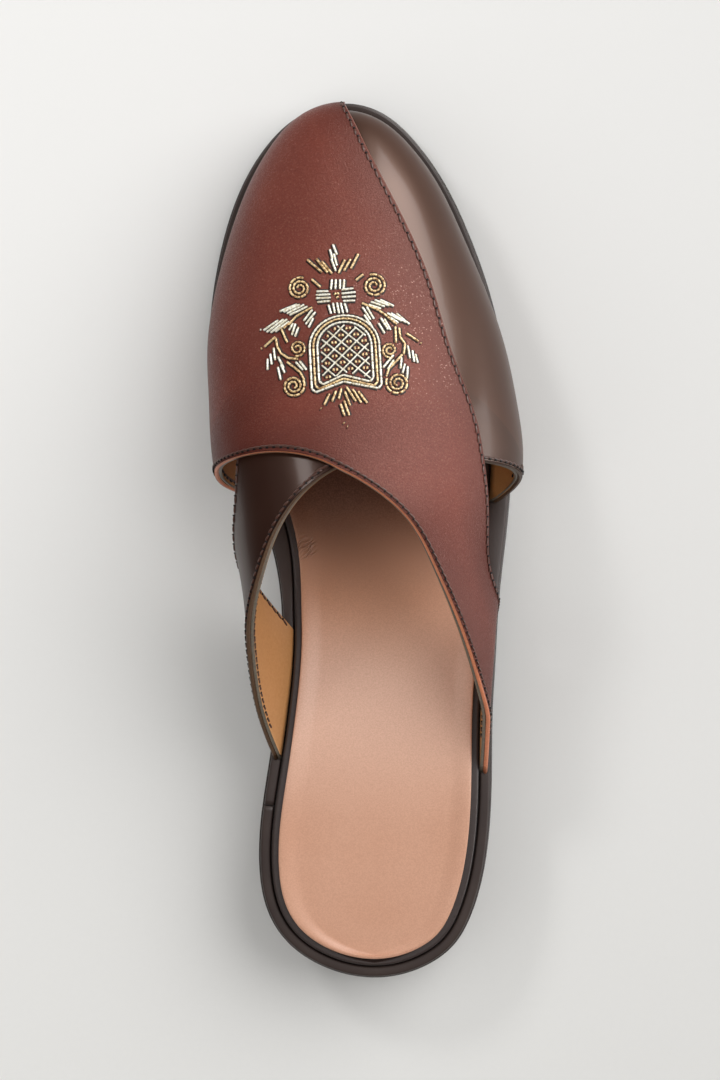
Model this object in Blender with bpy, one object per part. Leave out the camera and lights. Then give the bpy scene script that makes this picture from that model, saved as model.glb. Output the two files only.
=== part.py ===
"""A criss-cross leather mule for the right foot.

Metres, +Z up, +Y towards the toe and +X towards the outer side of the foot. The origin is the middle
of the heel's flat underside, on the floor. The sole's outline, drawn once, sets every other piece: each
is that outline moved inwards or outwards by a named width. The upper is two panels that cross on the
instep. Both are cut from one last surface, which runs round the toe and up over the instep.
"""
import math

import bmesh
import bpy
import numpy as np

# Driving sizes of the sole
SOLE_LENGTH = 0.294
BALL_WIDTH = 0.100
HEEL_HEIGHT = 0.020
HEEL_LENGTH = 0.074
HEEL_TAPER = 0.0018
LIFT_THICKNESS = 0.005
TOE_SPRING = 0.009
OUTSOLE_THICKNESS = 0.0048
RAND_THICKNESS = 0.003
RAND_SETBACK = 0.0006
RIM_RISE = 0.0016
SOCK_THICKNESS = 0.0012
SOCK_MARGIN = 0.0024
FOOTBED_DISH = 0.0010
DISH_WIDTH = 0.0088

# Driving sizes of the upper
WALL = 0.0026
INSTEP_HEIGHT = 0.065
SEAT_AT_HEEL = 0.0042
SEAT_AT_TOE = 0.0072

# Space left between neighbours, and the width of worn edges
GAP = 0.0003
EDGE_ROUND = 0.0008

# The middle line of the sole drifts to the inner side by this share of the way to the toe
AXIS_DRIFT = -0.034

# Where the sole leaves the heel seat, touches the floor and springs up, as shares of its length
SEAT_END = 0.18
TREAD_START = 0.64
TREAD_END = 0.765
SPRING_POWER = 1.8

# Where the walls of the strap feet give way to those of the forefoot, as shares of the length
STRAP_ZONE_END = 0.405
FOREFOOT_ZONE_START = 0.535
NOSE_ZONE_START = 0.80

# Share of the girth over which the wall turns upright, to stand on the rand
FOOT_SHARE = 0.25

# How finely the outline, the ribs and the points of each rib are drawn
OUTLINE_STEPS = 38
RIB_STEPS = 48
POINTS_PER_RIB = 17
SHARP_ANGLE = math.radians(35)

# Small steps for measuring a slope: of the outline's angle, and of the last's turn and girth
OUTLINE_PROBE = 1e-4
LAST_PROBE = 2e-3

# A quarter of an ellipse is about this many times as long as the line between its ends
QUARTER_ARC = math.pi / math.sqrt(8)

# Sole outline: station as a share of the length, half widths as shares of the ball width
OUTLINE = [
    # station, inner, outer
    (0.004, 0.098, 0.094),
    (0.020, 0.214, 0.206),
    (0.055, 0.322, 0.306),
    (0.115, 0.373, 0.373),
    (0.177, 0.365, 0.404),
    (0.240, 0.333, 0.417),
    (0.303, 0.302, 0.426),
    (0.366, 0.279, 0.443),
    (0.425, 0.276, 0.459),
    (0.480, 0.297, 0.482),
    (0.540, 0.355, 0.507),
    (0.604, 0.437, 0.521),
    (0.668, 0.483, 0.516),
    (0.732, 0.494, 0.497),
    (0.796, 0.470, 0.456),
    (0.860, 0.421, 0.392),
    (0.923, 0.337, 0.302),
    (0.969, 0.228, 0.198),
    (0.996, 0.087, 0.075),
]

# The last: station as a share of the length; how far its widest line stands outside the sole's edge, as
# a share of the ball width; how high that line runs above the rand, and how far the crown rises over
# it, as shares of the instep height; where the crown lies across; how full each side is.
LAST = [
    # station, beyond inner, beyond outer, widest inner, widest outer, crown, across, full inner, outer
    (0.20, 0.060, -0.040, 0.42, 0.24, 0.45, 0.38, 2.0, 1.45),
    (0.30, 0.088, -0.038, 0.45, 0.25, 0.60, 0.38, 2.0, 1.40),
    (0.41, 0.104, -0.034, 0.46, 0.26, 0.77, 0.38, 2.0, 1.40),
    (0.46, 0.108, -0.024, 0.43, 0.27, 0.84, 0.38, 2.0, 1.50),
    (0.51, 0.100, 0.006, 0.38, 0.29, 0.90, 0.38, 2.0, 1.60),
    (0.55, 0.070, 0.028, 0.34, 0.29, 0.94, 0.39, 2.0, 1.70),
    (0.60, 0.024, 0.036, 0.29, 0.27, 0.96, 0.40, 2.05, 1.80),
    (0.65, -0.014, 0.025, 0.25, 0.23, 0.97, 0.41, 2.1, 1.95),
    (0.71, -0.032, 0.009, 0.21, 0.20, 0.97, 0.42, 2.1, 2.0),
    (0.77, -0.045, -0.010, 0.18, 0.17, 0.98, 0.44, 2.15, 2.1),
    (0.84, -0.057, -0.025, 0.15, 0.15, 1.00, 0.46, 2.2, 2.2),
    (0.92, -0.059, -0.027, 0.13, 0.13, 1.04, 0.48, 2.2, 2.2),
    (0.97, -0.048, -0.031, 0.12, 0.12, 1.00, 0.49, 2.2, 2.2),
    (1.00, -0.036, -0.036, 0.12, 0.12, 0.96, 0.50, 2.2, 2.2),
]

# Edges of both panels. Along is the way from the toe to the strap's foot. Stations are shares of the
# length. Girth is 0 on the crown and 1 at the sole, on the side of the panel's own strap.
FRONT_EDGE = [
    # along, over station, over girth, under station, under girth
    (0.00, 1.000, 0.000, 1.000, 0.000),
    (0.06, 0.985, 0.100, 0.985, 0.100),
    (0.14, 0.948, 0.166, 0.948, 0.166),
    (0.22, 0.905, 0.226, 0.905, 0.226),
    (0.32, 0.846, 0.302, 0.846, 0.302),
    (0.42, 0.778, 0.351, 0.778, 0.351),
    (0.52, 0.707, 0.379, 0.707, 0.379),
    (0.62, 0.632, 0.436, 0.632, 0.436),
    (0.70, 0.573, 0.480, 0.573, 0.500),
    (0.78, 0.520, 0.555, 0.520, 0.585),
    (0.86, 0.470, 0.670, 0.470, 0.700),
    (0.93, 0.431, 0.830, 0.430, 0.860),
    (1.00, 0.400, 1.000, 0.396, 1.000),
]
CORNER_ALONG = 0.36
REAR_EDGE = [
    # along, over station, over girth, under station, under girth
    (0.36, 0.540, -1.000, 0.538, -1.000),
    (0.43, 0.562, -0.860, 0.562, -0.855),
    (0.50, 0.581, -0.680, 0.578, -0.680),
    (0.56, 0.591, -0.470, 0.586, -0.510),
    (0.62, 0.596, -0.265, 0.591, -0.330),
    (0.68, 0.588, -0.080, 0.591, -0.150),
    (0.74, 0.562, 0.076, 0.581, 0.010),
    (0.79, 0.522, 0.225, 0.546, 0.180),
    (0.84, 0.470, 0.368, 0.492, 0.302),
    (0.89, 0.412, 0.538, 0.432, 0.445),
    (0.93, 0.361, 0.660, 0.372, 0.615),
    (0.965, 0.304, 0.790, 0.310, 0.785),
    (1.00, 0.233, 1.000, 0.249, 1.000),
]

OVER_SIDE = 1.0
UNDER_SIDE = -1.0


def spline(knots, values):
    """A natural cubic spline through the knots, as a function of a number or an array."""
    x = np.array(knots, float)
    y = np.array(values, float)
    step = np.diff(x)
    count = len(x)
    matrix = np.eye(count)
    right = np.zeros(count)
    for i in range(1, count - 1):
        matrix[i, i - 1:i + 2] = step[i - 1], 2 * (step[i - 1] + step[i]), step[i]
        right[i] = 6 * ((y[i + 1] - y[i]) / step[i] - (y[i] - y[i - 1]) / step[i - 1])
    bend = np.linalg.solve(matrix, right)

    def value(at):
        at = np.clip(at, x[0], x[-1])
        i = np.clip(np.searchsorted(x, at) - 1, 0, count - 2)
        done = at - x[i]
        left = x[i + 1] - at
        curve = (bend[i] * left ** 3 + bend[i + 1] * done ** 3) / (6 * step[i])
        start = (y[i] / step[i] - bend[i] * step[i] / 6) * left
        end = (y[i + 1] / step[i] - bend[i + 1] * step[i] / 6) * done
        return curve + start + end

    return value


def smoothstep(low, high, at):
    share = np.clip((at - low) / (high - low), 0, 1)
    return share * share * (3 - 2 * share)


def station(turn):
    """Share of the sole's length at an angle round its outline: 0 at the back, pi at the toe."""
    return (1 - np.cos(turn)) / 2


def turn_at(share):
    return np.arccos(1 - 2 * np.asarray(share, float))


# Splines of the tables. Half widths are divided by their round ends, so that the ends stay round.
STATIONS = np.array([row[0] for row in OUTLINE])
ROUND_ENDS = np.sqrt(STATIONS * (1 - STATIONS))
INNER_WIDTH = spline(STATIONS, np.array([row[1] for row in OUTLINE]) / ROUND_ENDS)
OUTER_WIDTH = spline(STATIONS, np.array([row[2] for row in OUTLINE]) / ROUND_ENDS)
LAST_CURVES = [spline([row[0] for row in LAST], [row[i] for row in LAST]) for i in range(1, 9)]
BEYOND_INNER, BEYOND_OUTER, WIDEST_INNER, WIDEST_OUTER, CROWN, ACROSS, FULL_INNER, FULL_OUTER = LAST_CURVES


def edge(turn, side, inset):
    """Points of the sole's outline on one side (-1 inner, 1 outer), moved inwards by the inset."""
    def outline(angle):
        share = station(angle)
        y = share * SOLE_LENGTH - HEEL_LENGTH / 2
        widths = np.where(side < 0, INNER_WIDTH(share), OUTER_WIDTH(share))
        half = np.sin(angle) / 2 * widths * BALL_WIDTH
        return y * AXIS_DRIFT + side * half, y

    x, y = outline(turn)
    x_after, y_after = outline(turn + OUTLINE_PROBE)
    x_before, y_before = outline(turn - OUTLINE_PROBE)
    along_x = x_after - x_before
    along_y = y_after - y_before
    length = np.hypot(along_x, along_y)
    return x - side * along_y / length * inset, y + side * along_x / length * inset


def sole_rise(y):
    """Height of the outsole's underside above the floor."""
    share = (y + HEEL_LENGTH / 2) / SOLE_LENGTH
    spring = np.clip((share - TREAD_END) / (1 - TREAD_END), 0, None)
    return HEEL_HEIGHT * (1 - smoothstep(SEAT_END, TREAD_START, share)) + TOE_SPRING * spring ** SPRING_POWER


def rand_base(y):
    return sole_rise(y) + OUTSOLE_THICKNESS + GAP


def rand_top(y):
    return rand_base(y) + RAND_THICKNESS


def seat(share):
    """How far inside the sole's edge the inner face of the upper stands."""
    widening = smoothstep(STRAP_ZONE_END, FOREFOOT_ZONE_START, share)
    return SEAT_AT_HEEL + (SEAT_AT_TOE - SEAT_AT_HEEL) * widening


def last_inset(share, side):
    """Inset of the last's lower edge. The under panel lies inside the last, the over panel outside it."""
    forefoot = smoothstep(STRAP_ZONE_END, FOREFOOT_ZONE_START, share)
    nose = smoothstep(turn_at(NOSE_ZONE_START), math.pi, turn_at(share))
    over_stands = np.where(side < 0, forefoot * (1 - nose), 1 - forefoot)
    return seat(share) - WALL + (GAP + WALL) * over_stands


def last_point(turn, girth):
    """A point of the last's surface: girth -1 at the inner lower edge, 0 on the crown, 1 at the outer."""
    turn = np.asarray(turn, float)
    girth = np.asarray(girth, float)
    share = station(turn)
    side = np.where(girth < 0, -1.0, 1.0)
    low_x, low_y = edge(turn, side, last_inset(share, side))
    inner_x, inner_y = edge(turn, -1.0, -BEYOND_INNER(share) * BALL_WIDTH)
    outer_x, outer_y = edge(turn, 1.0, -BEYOND_OUTER(share) * BALL_WIDTH)
    wide_x = np.where(side < 0, inner_x, outer_x)
    wide_y = np.where(side < 0, inner_y, outer_y)
    low_z = rand_top(low_y) + GAP
    inner_z = WIDEST_INNER(share) * INSTEP_HEIGHT
    outer_z = WIDEST_OUTER(share) * INSTEP_HEIGHT
    wide_z = low_z + np.where(side < 0, inner_z, outer_z)
    crown_x = inner_x + (outer_x - inner_x) * ACROSS(share)
    crown_y = (inner_y + outer_y) / 2
    rise = np.cos(turn / 2) * CROWN(share) * INSTEP_HEIGHT
    crown_z = rand_top(crown_y) + GAP + (inner_z + outer_z) / 2 + rise
    reach = np.hypot(wide_x - crown_x, crown_z - wide_z)
    below = np.hypot(wide_x - low_x, wide_z - low_z)
    over = reach * QUARTER_ARC + GAP
    bend = over / (over + below)
    angle = np.clip(np.abs(girth) / bend, 0, 1) * math.pi / 2
    full = np.where(side < 0, FULL_INNER(share), FULL_OUTER(share))
    size = (np.sin(angle) ** full + np.cos(angle) ** full) ** (1 / full)
    out = np.sin(angle) / size
    up = np.cos(angle) / size
    down = np.clip((np.abs(girth) - bend) / (1 - bend), 0, 1)
    x = crown_x + (wide_x - crown_x) * out + (low_x - wide_x) * down ** 2
    y = crown_y + (wide_y - crown_y) * out ** 2 + (low_y - wide_y) * down ** 2
    z = wide_z + (crown_z - wide_z) * up * (down == 0) - (wide_z - low_z) * down
    return np.stack([x, y, z], axis=-1)


def last_surface(turn, girth, offset):
    """The last's surface moved outwards by the offset; level at the lower edge, to stand on the rand."""
    turn = np.asarray(turn, float)
    girth = np.asarray(girth, float)
    at = np.minimum(turn, math.pi - 2 * LAST_PROBE)
    near = np.clip(girth, -1 + LAST_PROBE, 1 - LAST_PROBE)
    along = last_point(at + LAST_PROBE, near) - last_point(at - LAST_PROBE, near)
    across = last_point(at, near + LAST_PROBE) - last_point(at, near - LAST_PROBE)
    normal = np.cross(across, along)
    standing = np.clip(1 - (1 - np.abs(girth)) / FOOT_SHARE, 0, 1)
    normal[..., 2] = normal[..., 2] * (1 - standing)
    normal = normal / np.linalg.norm(normal, axis=-1, keepdims=True)
    on_last = last_point(turn, girth)
    moved = on_last + normal * offset
    moved[..., 2] = moved[..., 2] + (rand_top(moved[..., 1]) - rand_top(on_last[..., 1])) * standing
    return moved


def ribs(side, rib_steps, points_per_rib):
    """Lines across a panel, from its rear or lower edge to its front edge, as turns and girths."""
    column = 1 if side == OVER_SIDE else 3
    front_turn = spline([row[0] for row in FRONT_EDGE], turn_at([row[column] for row in FRONT_EDGE]))
    front_girth = spline([row[0] for row in FRONT_EDGE], [row[column + 1] for row in FRONT_EDGE])
    rear_turn = spline([row[0] for row in REAR_EDGE], turn_at([row[column] for row in REAR_EDGE]))
    rear_girth = spline([row[0] for row in REAR_EDGE], [row[column + 1] for row in REAR_EDGE])
    before = round(rib_steps * CORNER_ALONG)
    along = np.concatenate([
        np.linspace(0, CORNER_ALONG, before, endpoint=False),
        np.linspace(CORNER_ALONG, 1, rib_steps - before + 1),
    ])
    corner_turn = rear_turn(CORNER_ALONG)
    toe_share = np.clip(along / CORNER_ALONG, 0, 1)
    back_turn = np.where(along < CORNER_ALONG, math.pi + (corner_turn - math.pi) * toe_share, rear_turn(along))
    back_girth = np.where(along < CORNER_ALONG, -1.0, rear_girth(along))
    across = np.linspace(0, 1, points_per_rib)
    turns = back_turn[:, None] + (front_turn(along) - back_turn)[:, None] * across
    girths = back_girth[:, None] + (front_girth(along) - back_girth)[:, None] * across
    return turns, girths * side


def finish(obj, colour, roughness):
    material = bpy.data.materials.new(obj.name)
    material.use_nodes = True
    shader = material.node_tree.nodes["Principled BSDF"]
    shader.inputs["Base Color"].default_value = (*colour, 1)
    shader.inputs["Roughness"].default_value = roughness
    obj.data.materials.append(material)
    obj.data.shade_smooth()
    obj.data.set_sharp_from_angle(angle=SHARP_ANGLE)


def loft(name, rings, colour, roughness, closed=False):
    """One closed body through rings of points. An open row of rings is capped by strips at both ends."""
    shape = bmesh.new()
    loops = [[shape.verts.new(point) for point in ring] for ring in rings]
    pairs = list(zip(loops, loops[1:]))
    if closed:
        pairs.append((loops[-1], loops[0]))
    for one, two in pairs:
        for i in range(len(one)):
            shape.faces.new((one[i - 1], one[i], two[i], two[i - 1]))
    if not closed:
        for ring in (loops[0], loops[-1]):
            for i in range(len(ring) // 2 - 1):
                shape.faces.new((ring[i], ring[i + 1], ring[-2 - i], ring[-1 - i]))
    bmesh.ops.recalc_face_normals(shape, faces=shape.faces)
    if shape.calc_volume(signed=True) < 0:
        bmesh.ops.reverse_faces(shape, faces=shape.faces)
    mesh = bpy.data.meshes.new(name)
    shape.to_mesh(mesh)
    shape.free()
    obj = bpy.data.objects.new(name, mesh)
    bpy.context.collection.objects.link(obj)
    finish(obj, colour, roughness)
    return obj


def outline_turns(last_share=1.0):
    """Angles along one side of the outline, from the back to a station, with the tread's ends on it."""
    end = turn_at(last_share)
    half_step = math.pi / OUTLINE_STEPS / 2
    count = round(OUTLINE_STEPS * end / math.pi)
    if last_share == 1.0:
        turns = np.linspace(half_step, math.pi - half_step, count)
    else:
        turns = np.linspace(half_step, end, count)
    for share in (TREAD_START, TREAD_END):
        if share < last_share:
            turns[np.argmin(np.abs(turns - turn_at(share)))] = turn_at(share)
    return turns


def outline_ring(turns, inset, height):
    """A ring round the sole: outer side from back to toe, then the inner side back again."""
    share = station(turns)
    width = inset(share) if callable(inset) else inset
    outer_x, outer_y = edge(turns, 1.0, width)
    inner_x, inner_y = edge(turns, -1.0, width)
    x = np.concatenate([outer_x, inner_x[::-1]])
    y = np.concatenate([outer_y, inner_y[::-1]])
    return np.stack([x, y, height(y) + np.zeros(len(x))], axis=-1)


def build_top_lift():
    turns = outline_turns(HEEL_LENGTH / SOLE_LENGTH)
    base = HEEL_TAPER + EDGE_ROUND
    rings = [
        outline_ring(turns, base + EDGE_ROUND, lambda y: 0.0),
        outline_ring(turns, base, lambda y: EDGE_ROUND),
        outline_ring(turns, base, lambda y: LIFT_THICKNESS),
    ]
    loft("top_lift", rings, (0.030, 0.026, 0.025), 0.60)


def build_heel_block():
    turns = outline_turns(HEEL_LENGTH / SOLE_LENGTH)
    rings = [
        outline_ring(turns, HEEL_TAPER + EDGE_ROUND, lambda y: LIFT_THICKNESS + GAP),
        outline_ring(turns, EDGE_ROUND, lambda y: sole_rise(y) - GAP),
    ]
    loft("heel_block", rings, (0.055, 0.035, 0.028), 0.35)


def build_outsole():
    turns = outline_turns()
    rings = [
        outline_ring(turns, EDGE_ROUND, sole_rise),
        outline_ring(turns, 0.0, lambda y: sole_rise(y) + EDGE_ROUND),
        outline_ring(turns, 0.0, lambda y: sole_rise(y) + OUTSOLE_THICKNESS - EDGE_ROUND / 2),
        outline_ring(turns, EDGE_ROUND / 2, lambda y: sole_rise(y) + OUTSOLE_THICKNESS),
    ]
    loft("outsole", rings, (0.040, 0.028, 0.024), 0.40)


def build_rand():
    turns = outline_turns()
    outer = RAND_SETBACK
    rings = [
        outline_ring(turns, outer, rand_base),
        outline_ring(turns, outer, lambda y: rand_top(y) - EDGE_ROUND),
        outline_ring(turns, outer + EDGE_ROUND, rand_top),
        outline_ring(turns, seat, rand_top),
        outline_ring(turns, seat, rand_base),
    ]
    loft("rand", rings, (0.075, 0.052, 0.048), 0.40, closed=True)


def rim_inset(share):
    return seat(share) + GAP


def sock_inset(share):
    return rim_inset(share) + SOCK_MARGIN


def dish_inset(share):
    return rim_inset(share) + DISH_WIDTH


def build_insole_board():
    turns = outline_turns()
    top = RIM_RISE
    rings = [
        outline_ring(turns, rim_inset, rand_base),
        outline_ring(turns, rim_inset, lambda y: rand_top(y) + top - EDGE_ROUND),
        outline_ring(turns, lambda s: rim_inset(s) + EDGE_ROUND, lambda y: rand_top(y) + top),
        outline_ring(turns, sock_inset, lambda y: rand_top(y) + top),
        outline_ring(turns, dish_inset, lambda y: rand_top(y) + top - FOOTBED_DISH),
    ]
    loft("insole_board", rings, (0.050, 0.034, 0.031), 0.45)


def build_sock():
    turns = outline_turns()
    base = RIM_RISE + GAP
    top = base + SOCK_THICKNESS
    rings = [
        outline_ring(turns, dish_inset, lambda y: rand_top(y) + base - FOOTBED_DISH),
        outline_ring(turns, sock_inset, lambda y: rand_top(y) + base),
        outline_ring(turns, sock_inset, lambda y: rand_top(y) + top - EDGE_ROUND / 2),
        outline_ring(turns, lambda s: sock_inset(s) + EDGE_ROUND, lambda y: rand_top(y) + top),
        outline_ring(turns, dish_inset, lambda y: rand_top(y) + top - FOOTBED_DISH),
    ]
    loft("sock", rings, (0.640, 0.380, 0.270), 0.45)


def build_panel(name, side, inside, colour):
    """A panel of the upper: a hollow wall between two offsets of the last, from inside outwards."""
    turns, girths = ribs(side, RIB_STEPS, POINTS_PER_RIB)
    outer = last_surface(turns, girths, inside + WALL)
    inner = last_surface(turns, girths, inside)
    rings = [np.concatenate([out, back[::-1]]) for out, back in zip(outer, inner)]
    loft(name, rings, colour, 0.30)


def main():
    for obj in list(bpy.data.objects):
        bpy.data.objects.remove(obj)
    build_top_lift()
    build_heel_block()
    build_outsole()
    build_rand()
    build_insole_board()
    build_sock()
    build_panel("upper_under", UNDER_SIDE, -WALL, (0.055, 0.034, 0.022))
    build_panel("upper_over", OVER_SIDE, GAP, (0.160, 0.040, 0.025))


main()
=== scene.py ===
# %% [markdown]
# A criss-cross leather mule for the right foot, dressed piece by piece over its solid model.
# The solid model is the fixed frame: it gives the true sole, the last and the two panels. Here each
# solid is replaced by a finer piece of the same size, with its own leather, cut edges and seams.
# Frame: metres, +Y to the toe, +Z up, +X to the outer side of the foot, floor at zero.

# %% Load the frame
import math

import bmesh
import bpy
import numpy as np
from mathutils import Matrix, Vector
from mathutils.bvhtree import BVHTree


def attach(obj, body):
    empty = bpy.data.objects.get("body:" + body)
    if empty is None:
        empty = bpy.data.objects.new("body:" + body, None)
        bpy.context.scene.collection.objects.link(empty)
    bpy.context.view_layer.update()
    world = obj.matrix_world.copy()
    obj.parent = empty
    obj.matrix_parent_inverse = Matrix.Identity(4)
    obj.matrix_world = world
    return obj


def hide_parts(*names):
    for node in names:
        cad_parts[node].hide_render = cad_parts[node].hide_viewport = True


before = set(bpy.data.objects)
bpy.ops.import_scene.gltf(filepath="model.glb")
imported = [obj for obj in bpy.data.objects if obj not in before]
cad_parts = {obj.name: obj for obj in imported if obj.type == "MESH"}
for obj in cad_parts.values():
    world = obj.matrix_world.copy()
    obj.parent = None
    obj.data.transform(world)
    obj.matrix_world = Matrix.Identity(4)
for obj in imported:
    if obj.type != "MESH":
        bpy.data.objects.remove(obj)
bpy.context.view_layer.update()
MM = 0.001
print("solids:", sorted(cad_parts))

# %% [markdown]
# The view. The shoe is seen from 1.3 m above the floor, with a long lens. The camera stands a little to
# its outer side and turns only as much as puts the shoe in the middle.

# %% Camera
CAMERA_AT = Vector((0.0305, 0.1079, 1.300))
SHOE_MIDDLE = Vector((-0.0035, 0.1095, 0.030))
camera = bpy.data.objects.new("camera", bpy.data.cameras.new("camera"))
camera.location = CAMERA_AT
to_shoe = SHOE_MIDDLE - CAMERA_AT
camera.rotation_euler = (math.atan2(to_shoe.y, -to_shoe.z), math.atan2(-to_shoe.x, -to_shoe.z), 0)
camera.data.lens = 127
camera.data.clip_end = 20
bpy.context.scene.collection.objects.link(camera)
bpy.context.scene.camera = camera
print("camera", round(to_shoe.length, 3), "m from the shoe")

# %% [markdown]
# Colours are written as they look on a screen, so one function turns each into light values. Another
# fills the inputs of a node and a third adds a node and fills it, so a finish reads as a short list.
# Values go by the name of the input, or in a row by its place. The row of a MapRange is the value, the
# two ends that it comes from and the two ends that it goes to. A Mix takes the share at 0 and the two
# colours at 6 and 7. Sizes inside a material are in millimetres, and a noise scale is cells in one.

# %% Colour and node helpers
COLOUR_OUTPUT = {"ShaderNodeMix": 2}
SOFTLY = {"interpolation_type": "SMOOTHSTEP"}


def light(hex_colour):
    """An sRGB colour such as 7a3b2e as linear red, green, blue and alpha."""
    parts = [int(hex_colour[i:i + 2], 16) / 255 for i in (0, 2, 4)]
    return (*[p / 12.92 if p <= 0.04045 else ((p + 0.055) / 1.055) ** 2.4 for p in parts], 1)


def fill(tree, node, values):
    """Fill a node's inputs: a node or an output is linked, text is a colour, the rest are plain values."""
    rows = values.items() if isinstance(values, dict) else enumerate(values)
    for socket, value in rows:
        if isinstance(value, bpy.types.Node):
            value = value.outputs[COLOUR_OUTPUT.get(value.bl_idname, 0)]
        if isinstance(value, bpy.types.NodeSocket):
            tree.links.new(value, node.inputs[socket])
        else:
            node.inputs[socket].default_value = light(value) if isinstance(value, str) else value


def add(tree, kind, values=(), **settings):
    """Add one node with its settings, and fill its inputs."""
    node = tree.nodes.new("ShaderNode" + kind)
    for name, value in settings.items():
        setattr(node, name, value)
    fill(tree, node, values)
    return node


def new_material(name):
    """A material with its tree, its shader, and the object's own coordinates in millimetres."""
    material = bpy.data.materials.new(name)
    material.use_nodes = True
    tree = material.node_tree
    own = add(tree, "TexCoord").outputs["Object"]
    size = add(tree, "VectorMath", {0: own, "Scale": 1 / MM}, operation="SCALE")
    return material, tree, tree.nodes["Principled BSDF"], size.outputs[0]


def grained(name, tones, roughness, scale, detail=6, harshness=0.6, strength=0, depth=0, stretch=(1, 1, 1)):
    """A plain finish: one noise mixes two tones and raises the surface by a depth in millimetres."""
    material, tree, shader, mm = new_material(name)
    place = add(tree, "VectorMath", (mm, stretch), operation="MULTIPLY")
    grain = add(tree, "TexNoise", {"Vector": place, "Scale": scale, "Detail": detail, "Roughness": harshness})
    tone = add(tree, "Mix", {0: grain, 6: tones[0], 7: tones[1]}, data_type="RGBA")
    fill(tree, shader, {"Base Color": tone, "Roughness": roughness})
    if strength:
        bump = add(tree, "Bump", {"Height": grain, "Strength": strength, "Distance": depth * MM})
        fill(tree, shader, {"Normal": bump})
    return material, tree, shader, tone


# %% [markdown]
# The sole's outline and the last are drawn with the same few named sizes and tables as the solid model,
# so every finer piece lands exactly on its solid.

# %% Sizes of the sole and the upper
SOLE_LENGTH = 0.294
BALL_WIDTH = 0.100
HEEL_HEIGHT = 0.020
HEEL_LENGTH = 0.074
HEEL_TAPER = 0.0018
LIFT_THICKNESS = 0.005
TOE_SPRING = 0.009
OUTSOLE_THICKNESS = 0.0048
RAND_THICKNESS = 0.003
RAND_SETBACK = 0.0006
RIM_RISE = 0.0016
SOCK_THICKNESS = 0.0012
SOCK_MARGIN = 0.0024
FOOTBED_DISH = 0.0010
DISH_WIDTH = 0.0088
WALL = 0.0026
INSTEP_HEIGHT = 0.065
SEAT_AT_HEEL = 0.0042
SEAT_AT_TOE = 0.0072
GAP = 0.0003
EDGE_ROUND = 0.0008
AXIS_DRIFT = -0.034
SEAT_END = 0.18
TREAD_START = 0.64
TREAD_END = 0.765
SPRING_POWER = 1.8
STRAP_ZONE_END = 0.405
FOREFOOT_ZONE_START = 0.535
NOSE_ZONE_START = 0.80
FOOT_SHARE = 0.25
QUARTER_ARC = math.pi / math.sqrt(8)

# %% Tables of the sole, the last and the panels' edges
OUTLINE = [
    # station, inner, outer
    (0.004, 0.098, 0.094), (0.020, 0.214, 0.206), (0.055, 0.322, 0.306), (0.115, 0.373, 0.373),
    (0.177, 0.365, 0.404), (0.240, 0.333, 0.417), (0.303, 0.302, 0.426), (0.366, 0.279, 0.443),
    (0.425, 0.276, 0.459), (0.480, 0.297, 0.482), (0.540, 0.355, 0.507), (0.604, 0.437, 0.521),
    (0.668, 0.483, 0.516), (0.732, 0.494, 0.497), (0.796, 0.470, 0.456), (0.860, 0.421, 0.392),
    (0.923, 0.337, 0.302), (0.969, 0.228, 0.198), (0.996, 0.087, 0.075),
]
LAST = [
    # station, beyond inner, beyond outer, widest inner, widest outer, crown, across, full inner, outer
    (0.20, 0.060, -0.040, 0.42, 0.24, 0.45, 0.38, 2.0, 1.45),
    (0.30, 0.088, -0.038, 0.45, 0.25, 0.60, 0.38, 2.0, 1.40),
    (0.41, 0.104, -0.034, 0.46, 0.26, 0.77, 0.38, 2.0, 1.40),
    (0.46, 0.108, -0.024, 0.43, 0.27, 0.84, 0.38, 2.0, 1.50),
    (0.51, 0.100, 0.006, 0.38, 0.29, 0.90, 0.38, 2.0, 1.60),
    (0.55, 0.070, 0.028, 0.34, 0.29, 0.94, 0.39, 2.0, 1.70),
    (0.60, 0.024, 0.036, 0.29, 0.27, 0.96, 0.40, 2.05, 1.80),
    (0.65, -0.014, 0.025, 0.25, 0.23, 0.97, 0.41, 2.1, 1.95),
    (0.71, -0.032, 0.009, 0.21, 0.20, 0.97, 0.42, 2.1, 2.0),
    (0.77, -0.045, -0.010, 0.18, 0.17, 0.98, 0.44, 2.15, 2.1),
    (0.84, -0.057, -0.025, 0.15, 0.15, 1.00, 0.46, 2.2, 2.2),
    (0.92, -0.059, -0.027, 0.13, 0.13, 1.04, 0.48, 2.2, 2.2),
    (0.97, -0.048, -0.031, 0.12, 0.12, 1.00, 0.49, 2.2, 2.2),
    (1.00, -0.036, -0.036, 0.12, 0.12, 0.96, 0.50, 2.2, 2.2),
]
FRONT_EDGE = [
    # along, over station, over girth, under station, under girth
    (0.00, 1.000, 0.000, 1.000, 0.000), (0.06, 0.985, 0.100, 0.985, 0.100),
    (0.14, 0.948, 0.166, 0.948, 0.166), (0.22, 0.905, 0.226, 0.905, 0.226),
    (0.32, 0.846, 0.302, 0.846, 0.302), (0.42, 0.778, 0.351, 0.778, 0.351),
    (0.52, 0.707, 0.379, 0.707, 0.379), (0.62, 0.632, 0.436, 0.632, 0.436),
    (0.70, 0.573, 0.480, 0.573, 0.500), (0.78, 0.520, 0.555, 0.520, 0.585),
    (0.86, 0.470, 0.670, 0.470, 0.700), (0.93, 0.431, 0.830, 0.430, 0.860),
    (1.00, 0.400, 1.000, 0.396, 1.000),
]
CORNER_ALONG = 0.36
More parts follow.
